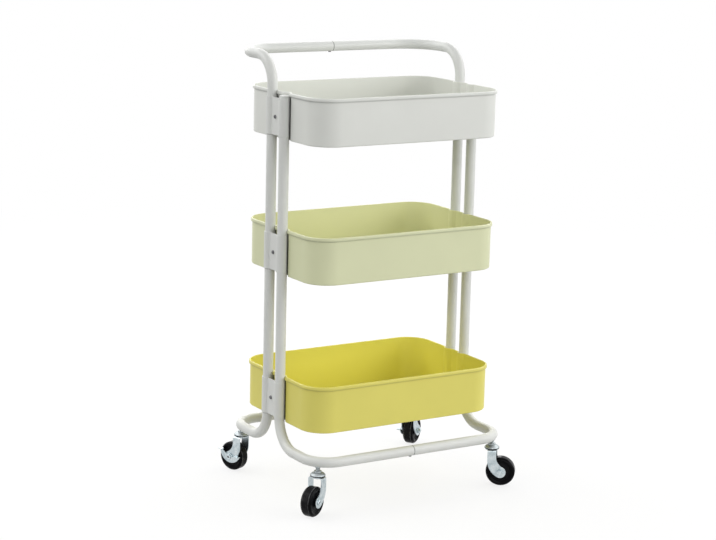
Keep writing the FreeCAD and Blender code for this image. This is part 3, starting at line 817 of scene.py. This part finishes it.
def make_trays():
    """Three trays of one shape, each with a coat of its own."""
    shape = loft([[(x, y, height) for x, y in tray_plan(offset)] for offset, height in tray_profile()])
    for tier, bottom in TRAY_BOTTOMS.items():
        lift = Matrix.Translation((0, 0, bottom))
        add_piece(tier + "_tray_sheet", shape, "frame", tier + "_tray_paint", [tier + "_tray"], lift)


# Tube frame


def bent_path(corners):
    """Points and directions along a path with a bend of the given radius at each inner corner."""
    path = []
    for index, (corner, radius) in enumerate(corners):
        if radius == 0:
            ahead = corners[1][0] - corner if index == 0 else corner - corners[index - 1][0]
            path.append((corner, ahead.normalized()))
            continue
        inward = (corners[index - 1][0] - corner).normalized()
        onward = (corners[index + 1][0] - corner).normalized()
        centre = corner + (inward + onward) * radius
        steps = round(90 / ARC_STEP)
        path.append((corner + inward * (radius + SUPPORT), -inward))
        for step in range(steps + 1):
            angle = math.pi / 2 * step / steps
            out = -onward * math.cos(angle) - inward * math.sin(angle)
            along = -inward * math.cos(angle) + onward * math.sin(angle)
            path.append((centre + out * radius, along))
        path.append((corner + onward * (radius + SUPPORT), onward))
    return path


def tube_shape(corners):
    """A round tube along a bent path, with its two ends closed and slightly bevelled."""
    path = bent_path(corners)
    first, first_way = path[0]
    last, last_way = path[-1]
    end_radius = TUBE_RADIUS - TUBE_END_BEVEL
    stations = [(first, first_way, end_radius)]
    stations.append((first + first_way * TUBE_END_BEVEL, first_way, TUBE_RADIUS))
    stations += [(point, way, TUBE_RADIUS) for point, way in path[1:-1]]
    stations.append((last - last_way * TUBE_END_BEVEL, last_way, TUBE_RADIUS))
    stations.append((last, last_way, end_radius))
    side = first_way.orthogonal().normalized()
    rings = []
    way_before = first_way
    for point, way, reach in stations:
        side = way_before.rotation_difference(way) @ side
        way_before = way
        other = way.cross(side)
        rings.append([point + (side * math.cos(turn) + other * math.sin(turn)) * reach for turn in turns()])
    return loft(rings)


def make_tubes():
    """Four bent tubes, each drawn on the right and mirrored for the left."""
    rear = [
        (Vector((SEAM_GAP, HANDLE_Y, HANDLE_Z)), 0),
        (Vector((UPRIGHT_X, HANDLE_Y, HANDLE_Z)), HANDLE_PLAN_BEND),
        (Vector((UPRIGHT_X, UPRIGHT_Y, HANDLE_Z)), HANDLE_DROP_BEND),
        (Vector((UPRIGHT_X, UPRIGHT_Y, BASE_Z)), BASE_DROP_BEND),
        (Vector((UPRIGHT_X, BASE_Y, BASE_Z)), BASE_PLAN_BEND),
        (Vector((SEAM_GAP, BASE_Y, BASE_Z)), 0),
    ]
    front = [
        (Vector((UPRIGHT_X, -UPRIGHT_Y, FRONT_TOP_Z)), 0),
        (Vector((UPRIGHT_X, -UPRIGHT_Y, BASE_Z)), BASE_DROP_BEND),
        (Vector((UPRIGHT_X, -BASE_Y, BASE_Z)), BASE_PLAN_BEND),
        (Vector((SEAM_GAP, -BASE_Y, BASE_Z)), 0),
    ]
    for end, corners in (("rear", rear), ("front", front)):
        shape = tube_shape(corners)
        for side, way in SIDES.items():
            node = f"{side}_{end}_tube"
            place = Matrix.Diagonal((way, 1, 1, 1))
            add_piece(node + "_bent", shape, "frame", "frame_paint", [node], place)


def make_tube_caps():
    """Domed plugs in the tops of the front uprights."""
    plug = TUBE_BORE - FIT
    corners = [
        (POINT, -CAP_DEPTH, 0),
        (plug, -CAP_DEPTH, EASE),
        (plug, 0, 0),
        (TUBE_RADIUS, 0, EASE / 2),
        (TUBE_RADIUS, CAP_RISE, CAP_ROUND),
        (POINT, CAP_RISE, 0),
    ]
    shape = lathe(rounded(corners))
    for side, way in SIDES.items():
        place = Matrix.Translation((way * UPRIGHT_X, -UPRIGHT_Y, FRONT_TOP_Z))
        add_piece(side + "_tube_cap_dome", shape, "frame", "cap_plastic", [side + "_tube_cap"], place)


# Clamp plates and screws


def clamp_plan(offset):
    """The plate's line from above, from one lip round both uprights to the other, moved out by offset."""
    inner = TUBE_RADIUS + CLAMP_PLAY
    fold = CLAMP_FOLD + CLAMP_GAUGE
    fold_x = UPRIGHT_X + CLAMP_STRIP + CLAMP_FOLD
    fold_drop = math.sqrt((inner + fold) ** 2 - (fold_x - UPRIGHT_X) ** 2)
    lean = math.degrees(math.atan2(fold_drop, fold_x - UPRIGHT_X))
    fold_y = UPRIGHT_Y - fold_drop
    half = arc((fold_x, fold_y), fold - offset, 180, 180 - lean)
    half += arc((UPRIGHT_X, UPRIGHT_Y), inner + offset, -lean, 90)[1:]
    half.append((CLAMP_LIP_X, UPRIGHT_Y + inner + offset))
    return with_supports([(x, -y) for x, y in reversed(half)] + half, closed=False)


def make_clamps():
    """Six plates with rounded edges, each drawn at the right end and turned round for the left."""
    corners = [
        (0, 0, PLATE_EDGE),
        (CLAMP_GAUGE, 0, PLATE_EDGE),
        (CLAMP_GAUGE, CLAMP_HEIGHT, PLATE_EDGE),
        (0, CLAMP_HEIGHT, PLATE_EDGE),
    ]
    profile = with_supports(rounded(corners, closed=True), closed=True)
    rings = [[(x, y, height) for x, y in clamp_plan(offset)] for offset, height in profile]
    verts, faces = loft(rings, closed_rows=True, closed_ring=False, capped=False)
    across = len(rings[0])
    for lip in (0, across - 1):
        faces.append(tuple(row * across + lip for row in range(len(rings))))
    for tier, bottom in TRAY_BOTTOMS.items():
        for side, turn in (("right", 0), ("left", 180)):
            node = f"{tier}_{side}_clamp"
            place = Matrix.Translation((0, 0, bottom + CLAMP_RISE)) @ turn_about("Z", turn)
            add_piece(node + "_plate", (verts, faces), "frame", "frame_paint", [node], place)


def hexagon_reach(half_width):
    """The reach of a hexagon with flats half_width from its middle, as a function of the angle."""
    sector = math.pi / 3

    def reach(angle):
        return half_width / math.cos(angle % sector - sector / 2)

    return reach


def screw_shape(shank, length, head, head_height, socket):
    """A button head screw pointing up +Z with its seat at 0 and a hexagon socket below."""
    socket_end = -head_height * SOCKET_FLOOR
    button = [
        (socket * SOCKET_MOUTH, -head_height, 0),
        (head, -head_height, head_height * BUTTON_ROUND),
        (head, 0, EASE / 2),
        (shank, 0, 0),
    ]
    wall = hexagon_reach(socket)
    profile = [(POINT, socket_end), (wall, socket_end), (wall, -head_height)]
    profile += rounded(button)
    profile += [(shank, length), (POINT, length)]
    return lathe(profile)


def make_screws():
    """The screws in the clamp plates, and those below the seams of the frame."""
    clamp_screws = []
    for bottom in TRAY_BOTTOMS.values():
        for turn in (0, 180):
            seat = Matrix.Translation((0, 0, bottom + CLAMP_SCREW_RISE)) @ turn_about("Z", turn)
            seat = seat @ Matrix.Translation((UPRIGHT_X + CLAMP_STRIP, 0, 0)) @ turn_about("Y", -90)
            clamp_screws.append(moved(screw_shape(*CLAMP_SCREW), seat))
    seam_screws = []
    for y, z in ((HANDLE_Y, HANDLE_Z), (-BASE_Y, BASE_Z), (BASE_Y, BASE_Z)):
        seat = Matrix.Translation((SEAM_SCREW_X, y, z - TUBE_RADIUS))
        seam_screws.append(moved(screw_shape(*SEAM_SCREW), seat))
    for node, shapes in (("clamp_screws", clamp_screws), ("joint_screws", seam_screws)):
        add_piece(node + "_socketed", join_shapes(*shapes), "frame", "dark_screw", [node])


# Casters, each about its swivel axis with the wheel trailing along +X


def thread_reach(height):
    """The reach of the stem's thread at a height, as a function of the angle."""

    def reach(angle):
        phase = (height / STEM_PITCH - angle / (2 * math.pi)) % 1
        return STEM_RADIUS - STEM_THREAD * abs(2 * phase - 1)

    return reach


def stem_shape():
    """The stem: a riveted foot and plain neck below, and a thread above the cup."""
    rows = round((STEM_TOP - CUP_TOP) / STEM_PITCH * THREAD_ROWS)
    thread = [(POINT, CUP_TOP)]
    for row in range(rows + 1):
        height = CUP_TOP + (STEM_TOP - CUP_TOP) * row / rows
        thread.append((thread_reach(height), height))
    thread.append((POINT, STEM_TOP))
    foot = [
        (POINT, STEM_FOOT_LOW, 0),
        (STEM_FOOT, STEM_FOOT_LOW, EASE * 2),
        (STEM_FOOT, STEM_FOOT_HIGH, EASE),
        (STEM_RADIUS, STEM_FOOT_HIGH, 0),
        (STEM_RADIUS, CUP_TOP, 0),
        (POINT, CUP_TOP, 0),
    ]
    return join_shapes(lathe(thread), lathe(rounded(foot)))


def cup_shape():
    """The domed cup with its turned down skirt and a short neck round the stem."""
    bore = STEM_RADIUS + FIT
    under = [
        (bore, CUP_UNDER_Z, 0),
        (CUP_INSIDE, CUP_UNDER_Z, EASE),
        (CUP_INSIDE, CUP_SKIRT_Z, EASE),
        (CUP_RADIUS, CUP_SKIRT_Z, EASE),
        (CUP_RADIUS, CUP_SIDE_Z, 0),
    ]
    hat = [(CUP_HAT, CUP_HAT_Z, 0), (CUP_HAT, CUP_TOP, EASE), (bore, CUP_TOP, 0)]
    dome = bowed((CUP_RADIUS, CUP_SIDE_Z), (CUP_HAT, CUP_HAT_Z), CUP_DOME)
    return lathe(rounded(under)[:-1] + dome + rounded(hat)[1:])


def fork_edge_x(z, straight_x, bow_z, way):
    """The x of a leg's front (way -1) or back (way 1) edge: straight to bow_z, then bowed into the eye."""
    run = TRAIL - straight_x
    rise = bow_z - WHEEL_RADIUS
    eye = way * FORK_EYE
    bow = (run**2 + rise**2 - eye**2) / (2 * (run + eye))
    meet_z = WHEEL_RADIUS + rise * eye / (bow + eye)
    if z >= bow_z:
        return straight_x
    if z >= meet_z:
        return straight_x + bow - math.sqrt(bow**2 - (bow_z - z) ** 2)
    return TRAIL + way * math.sqrt(max(0, eye**2 - (z - WHEEL_RADIUS) ** 2))


def fork_rows():
    """Stations from one eye over the crown to the other: middle point, way out, front and back x."""
    bend_y = FORK_OUTER - FORK_BEND
    bend_z = CROWN_TOP - FORK_BEND
    heights = [WHEEL_RADIUS + FORK_EYE * math.sin(math.radians(degrees)) for degrees in FORK_EYE_ANGLES]
    start = heights[-1]
    heights += [start + (bend_z - start) * step / FORK_LEG_STEPS for step in range(1, FORK_LEG_STEPS + 1)]
    near = []
    for z in heights:
        front = fork_edge_x(z, FORK_FRONT, FORK_BOW_Z, -1)
        back = fork_edge_x(z, FORK_BACK, FORK_NECK_Z, 1)
        near.append(((FORK_OUTER, z), (1, 0), front, back))
    for degrees in FORK_BEND_ANGLES:
        out = (math.cos(math.radians(degrees)), math.sin(math.radians(degrees)))
        point = (bend_y + FORK_BEND * out[0], bend_z + FORK_BEND * out[1])
        near.append((point, out, FORK_FRONT, FORK_BACK))
    for step in range(FORK_CROWN_STEPS + 1):
        y = bend_y * (1 - step / FORK_CROWN_STEPS)
        round_x = math.sqrt(CROWN_RADIUS**2 - y**2)
        near.append(((y, CROWN_TOP), (0, 1), min(FORK_FRONT, -round_x), max(FORK_BACK, round_x)))
    far = [((-y, z), (-out_y, out_z), front, back) for (y, z), (out_y, out_z), front, back in near[-2::-1]]
    return near + far


def fork_shape():
    """The fork as one bent strip, whose width follows its legs, its bends and its round crown."""
    there = range(FORK_COLUMNS + 1)
    rings = []
    for (y, z), (out_y, out_z), front, back in fork_rows():
        ring = []
        for depth, columns in ((0, there), (FORK_GAUGE, reversed(there))):
            for column in columns:
                x = front + (back - front) * column / FORK_COLUMNS
                ring.append((x, y - out_y * depth, z - out_z * depth))
        rings.append(ring)
    return loft(rings)


def tyre_shape():
    """The tyre: a flat tread with a fine parting line, a narrow channel at each side, and round shoulders."""
    side = [
        (HUB_RADIUS - EASE, -TYRE_FOOT_HALF, 0),
        (HUB_RADIUS + EASE, -TYRE_FOOT_HALF, EASE),
        (TYRE_SHOULDER, -TYRE_HALF, 0),
    ]
    lip = (WHEEL_RADIUS - CHANNEL_LIP, -TREAD_HALF - CHANNEL_WIDTH)
    half = rounded(side)[:-1] + bowed((TYRE_SHOULDER, -TYRE_HALF), lip, TYRE_ROUND)
    floor = WHEEL_RADIUS - CHANNEL_DEPTH
    for share in (1 - CHANNEL_SIDE_SHARE, CHANNEL_SIDE_SHARE):
        half.append((floor, -TREAD_HALF - CHANNEL_WIDTH * share))
    half += [(WHEEL_RADIUS, -TREAD_HALF), (WHEEL_RADIUS, -PARTING_HALF)]
    half.append((WHEEL_RADIUS - PARTING_DEPTH, -POINT))
    return lathe(mirrored(half), TYRE_STEPS, ring_shaped=True)


def mark_painted_highlights(tyre, place):
    """Marks where painted highlights go: most in a tyre's channels and on their lips, a little on the tread.
    """
    marks = tyre.data.attributes.new(PAINTED_HIGHLIGHT_ATTRIBUTE, "FLOAT", "POINT")
    local = place.inverted() @ Matrix.Scale(1 / MM, 4)
    for vert, mark in zip(tyre.data.vertices, marks.data):
        x, y, z = local @ vert.co
        if math.hypot(x, y) < TYRE_SHOULDER or abs(z) > TREAD_HALF + CHANNEL_WIDTH + POINT:
            mark.value = 0
        elif abs(z) > TREAD_HALF + POINT:
            mark.value = 1
        else:
            mark.value = TREAD_HIGHLIGHT_SHARE


def hub_shape():
    """The moulded wheel centre: a boss on the axle, a dished web and a rim under the tyre."""
    half = [
        (AXLE_RADIUS + FIT, -HUB_BOSS_HALF, 0),
        (HUB_BOSS, -HUB_BOSS_HALF, EASE),
        (HUB_BOSS, -HUB_WEB_HALF - HUB_WEB_RISE, EASE * 2),
        (HUB_RIM_INSIDE, -HUB_WEB_HALF, EASE * 2),
        (HUB_RIM_INSIDE, -HUB_RIM_HALF, EASE),
        (HUB_RADIUS - FIT, -HUB_RIM_HALF, EASE),
        (HUB_RADIUS - FIT, -POINT, 0),
    ]
    return lathe(mirrored(rounded(half)), TYRE_STEPS)


def brake_shape():
    """The crescent plate with a foot tab turned out at each tip."""
    inside = FORK_OUTER + BRAKE_GAP
    drop = math.sqrt(BRAKE_SWEEP**2 - BRAKE_REACH**2)
    lean = math.degrees(math.atan2(drop, BRAKE_REACH))
    boss_lean = math.degrees(math.asin(BRAKE_WAIST / BRAKE_BOSS))
    outline = arc((0, BRAKE_TIP + drop), BRAKE_SWEEP, 180 + lean, 360 - lean)
    outline += arc((0, 0), BRAKE_BOSS, boss_lean, 180 - boss_lean)
    shapes = [slab(outline, inside, inside + BRAKE_GAUGE)]
    low_z = BRAKE_TIP - BRAKE_GAUGE
    for low in (-BRAKE_REACH, BRAKE_REACH - BRAKE_TAB):
        high = low + BRAKE_TAB
        corners = [(low, low_z), (high, low_z), (high, BRAKE_TIP), (low, BRAKE_TIP)]
        tab = rounded([(x, z, BRAKE_TAB_ROUND) for x, z in corners], closed=True)
        shapes.append(slab(tab, inside + BRAKE_GAUGE / 2, inside + BRAKE_GAUGE + BRAKE_TAB_OUT))
    return join_shapes(*shapes)


def axle_shape(stack):
    """The axle along Z, with a dimpled rivet head beyond stack and a plain tail the other way."""
    tail = FORK_OUTER + AXLE_TAIL
    head_top = stack + AXLE_HEAD_HEIGHT
    corners = [
        (POINT, -tail, 0),
        (AXLE_RADIUS, -tail, EASE),
        (AXLE_RADIUS, stack, 0),
        (AXLE_HEAD, stack, EASE),
        (AXLE_HEAD, head_top, AXLE_HEAD_HEIGHT / 2),
        (AXLE_DIMPLE, head_top, EASE),
        (AXLE_DIMPLE, head_top - AXLE_DIMPLE_DEPTH, EASE),
        (POINT, head_top - AXLE_DIMPLE_DEPTH, 0),
    ]
    return lathe(rounded(corners))


def dimple_shade_shape(stack):
    """A thin dark disc of painted shade on the floor of the rivet's dimple."""
    radius = AXLE_DIMPLE - EASE
    floor = stack + AXLE_HEAD_HEIGHT - AXLE_DIMPLE_DEPTH
    low = floor - SHADE_DISC_HALF
    high = floor + SHADE_DISC_HALF
    return lathe([(POINT, low), (radius, low), (radius, high), (POINT, high)])


def nut_shape():
    """A hexagon nut along -Z, outside the fork's far leg."""
    near = -FORK_OUTER - FIT
    far = near - NUT_HEIGHT
    bore = AXLE_RADIUS + FIT
    full = hexagon_reach(NUT_HALF)
    eased = hexagon_reach(NUT_HALF - EASE / 2)
    flats = [(eased, near), (full, near - EASE), (full, far + EASE), (eased, far)]
    return lathe([(bore, near), *flats, (bore, far)])


def make_caster(corner, across, along, degrees, braked):
    """A caster with its pieces on the frame, the swivelling fork, the wheel and the brake."""
    swivel = Matrix.Translation((across * CASTER_X, along * CASTER_Y, 0)) @ turn_about("Z", degrees)
    axle = swivel @ Matrix.Translation((TRAIL, 0, WHEEL_RADIUS))
    turned = axle @ turn_about("X", -90)
    stack = FORK_OUTER + FIT
    if braked:
        stack = FORK_OUTER + 2 * BRAKE_GAP + BRAKE_GAUGE
    caster = corner + "_caster"
    wheel = corner + "_wheel"

    def add(kind, suffix, shape, body, slot, place):
        node = f"{corner}_{kind}"
        return add_piece(f"{node}_{suffix}", shape, body, slot, [node], place)

    add("stem", "threaded", stem_shape(), "frame", "zinc_steel", swivel)
    add("cup", "domed", cup_shape(), "frame", "zinc_steel", swivel)
    bevel_edges(add("fork", "pressed", fork_shape(), caster, "zinc_steel", swivel))
    add("axle", "riveted", axle_shape(stack), caster, "zinc_steel", turned)
    # A dark disc of painted shade in the rivet's dimple
    add_piece(f"{corner}_axle_hollow", dimple_shade_shape(stack), caster, "dark_screw", (), turned)
    add("axle_nut", "eased", nut_shape(), caster, "zinc_steel", turned)
    add("hub", "dished", hub_shape(), wheel, "hub_plastic", turned)
    mark_painted_highlights(add("tyre", "moulded", tyre_shape(), wheel, "tyre_rubber", turned), turned)
    if braked:
        tilt = axle @ turn_about("Y", BRAKE_REST)
        pedal = add("brake_pedal", "pressed", brake_shape(), corner + "_brake", "zinc_steel", tilt)
        bevel_edges(pedal)


# Stage: pale floor, soft lights and the photograph's camera


def shown_rays(tree):
    """1 on what the camera sees directly, in a mirror or through glass, and 0 for light."""
    rays = add_node(tree, "ShaderNodeLightPath").outputs
    reflected = calculate(tree, "MAXIMUM", rays["Is Glossy Ray"], rays["Is Transmission Ray"])
    return calculate(tree, "MAXIMUM", rays["Is Camera Ray"], reflected)


def make_floor():
    """A floor that shows plain white with a faint shadow, and returns light like a pale surface."""
    half = FLOOR_SIZE / 2 * MM
    mesh = bpy.data.meshes.new("floor")
    corners = [(-half, -half, 0), (half, -half, 0), (half, half, 0), (-half, half, 0)]
    mesh.from_pydata(corners, [], [(0, 1, 2, 3)])
    floor = bpy.data.objects.new("floor", mesh)
    bpy.context.scene.collection.objects.link(floor)
    material = bpy.data.materials.new("pale_floor")
    material.use_nodes = True
    tree = material.node_tree
    tree.nodes.clear()
    matte = add_node(tree, "ShaderNodeBsdfDiffuse", Color=FLOOR_COLOUR).outputs[0]
    glow = add_node(tree, "ShaderNodeEmission", Color=WHITE, Strength=PLAIN_LEVEL).outputs[0]
    distance = measure(tree, "LENGTH", add_node(tree, "ShaderNodeTexCoord").outputs["Object"])

    def by_distance(start, end, near, far):
        return map_range(tree, distance, start * MM, end * MM, near, far, "SMOOTHSTEP")

    fade = by_distance(FADE_START, FADE_END, FLOOR_SHADOW_SHARE, 0)
    shadowed = mix_shaders(tree, fade, glow, matte)
    bounce = mix_colours(tree, by_distance(DIM_START, DIM_END, 0, 1), NEAR_BOUNCE, FAR_BOUNCE)
    dim = add_node(tree, "ShaderNodeBsdfDiffuse", Color=bounce).outputs[0]
    surface = mix_shaders(tree, shown_rays(tree), dim, shadowed)
    add_node(tree, "ShaderNodeOutputMaterial", Surface=surface)
    mesh.materials.append(material)


def make_sky():
    """A sky that shows plain white and gives little light."""
    world = bpy.data.worlds.new("studio")
    bpy.context.scene.world = world
    world.use_nodes = True
    tree = world.node_tree
    tree.nodes.clear()
    light = add_node(tree, "ShaderNodeBackground", Color=WHITE, Strength=SKY_LEVEL).outputs[0]
    plain = add_node(tree, "ShaderNodeBackground", Color=WHITE, Strength=PLAIN_LEVEL).outputs[0]
    add_node(tree, "ShaderNodeOutputWorld", Surface=mix_shaders(tree, shown_rays(tree), light, plain))


def make_lights():
    """Softboxes all round the cart, which the camera doesn't see."""
    for name, (azimuth, elevation, width, power) in SOFTBOXES.items():
        data = bpy.data.lights.new(name, "AREA")
        data.shape = "RECTANGLE"
        data.size = width * MM
        data.size_y = SOFTBOX_HEIGHT * MM
        data.energy = power
        lamp = bpy.data.objects.new(name, data)
        out = turn_about("Z", azimuth) @ turn_about("Y", -elevation) @ Vector((LIGHT_DISTANCE, 0, 0))
        lamp.location = (LIGHT_TARGET + out) * MM
        lamp.rotation_mode = "QUATERNION"
        lamp.rotation_quaternion = out.to_track_quat("Z", "Y")
        lamp.visible_camera = False
        bpy.context.scene.collection.objects.link(lamp)


def make_camera():
    """The camera at the place, the angles and the focal length fitted to the photograph."""
    data = bpy.data.cameras.new("photo_camera")
    data.sensor_width = SENSOR_WIDTH
    data.lens = FOCAL_PIXELS / IMAGE_WIDTH * SENSOR_WIDTH
    camera = bpy.data.objects.new("photo_camera", data)
    aim = turn_about("Z", -CAMERA_YAW) @ turn_about("X", 90 - CAMERA_PITCH) @ turn_about("Z", CAMERA_ROLL)
    camera.matrix_world = Matrix.Translation(CAMERA_PLACE * MM) @ aim
    bpy.context.scene.collection.objects.link(camera)
    bpy.context.scene.camera = camera


# The scene

bpy.context.scene.view_settings.view_transform = "Standard"
make_materials()
finish_cad_nodes()
make_trays()
make_tubes()
make_tube_caps()
make_clamps()
make_screws()
for corner_name, caster_facts in CASTERS.items():
    make_caster(corner_name, *caster_facts)
make_floor()
make_sky()
make_lights()
make_camera()
